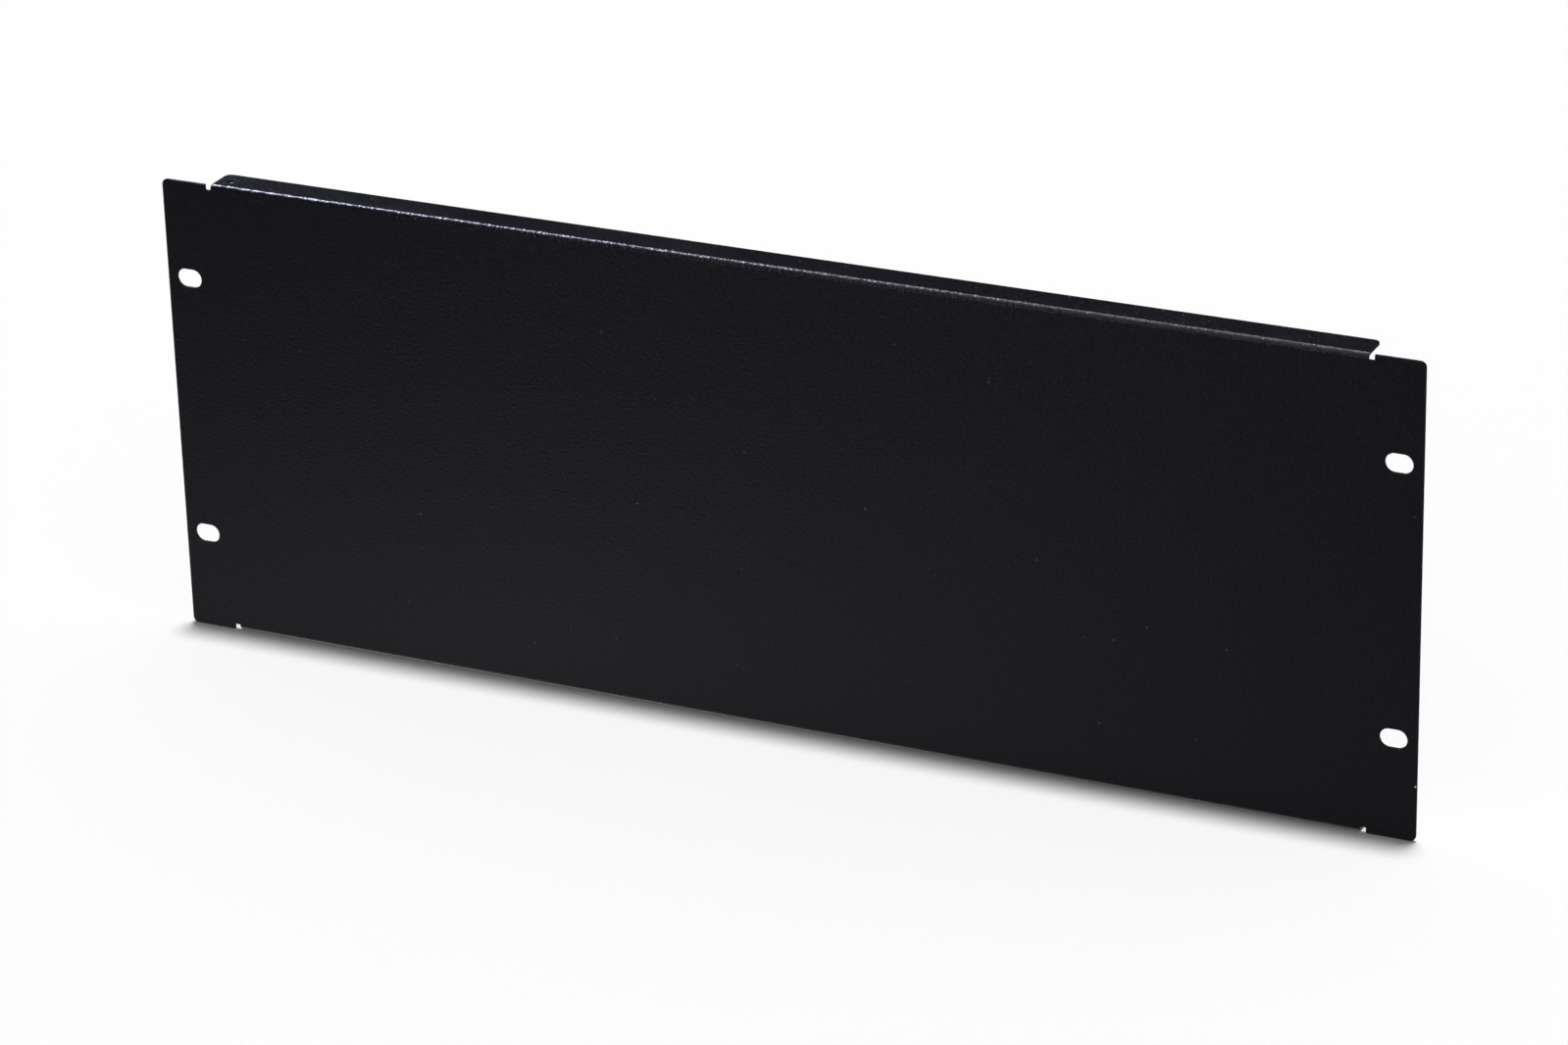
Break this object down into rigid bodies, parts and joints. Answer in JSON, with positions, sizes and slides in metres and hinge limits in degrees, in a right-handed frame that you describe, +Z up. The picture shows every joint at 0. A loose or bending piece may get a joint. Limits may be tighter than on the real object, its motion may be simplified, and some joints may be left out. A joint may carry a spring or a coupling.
{
  "type": "rack blanking panel",
  "caption": "Flat black steel filler panel for a 19-inch rack, folded back along top and bottom, with slotted mounting ears.",
  "frame": {"origin": "middle of the mounting slots, on the back of the ears where they seat on the rack rails", "axes": "+X along the width, +Y back into the rack, +Z up; the face looks along -Y"},
  "size_m": [0.4826, 0.013, 0.177],
  "materials": {
    "powder_coat": "fine-textured satin black powder coat"
  },
  "bodies": {
    "root": {"blanking_panel": "powder_coat"}
  },
  "joints": []
}
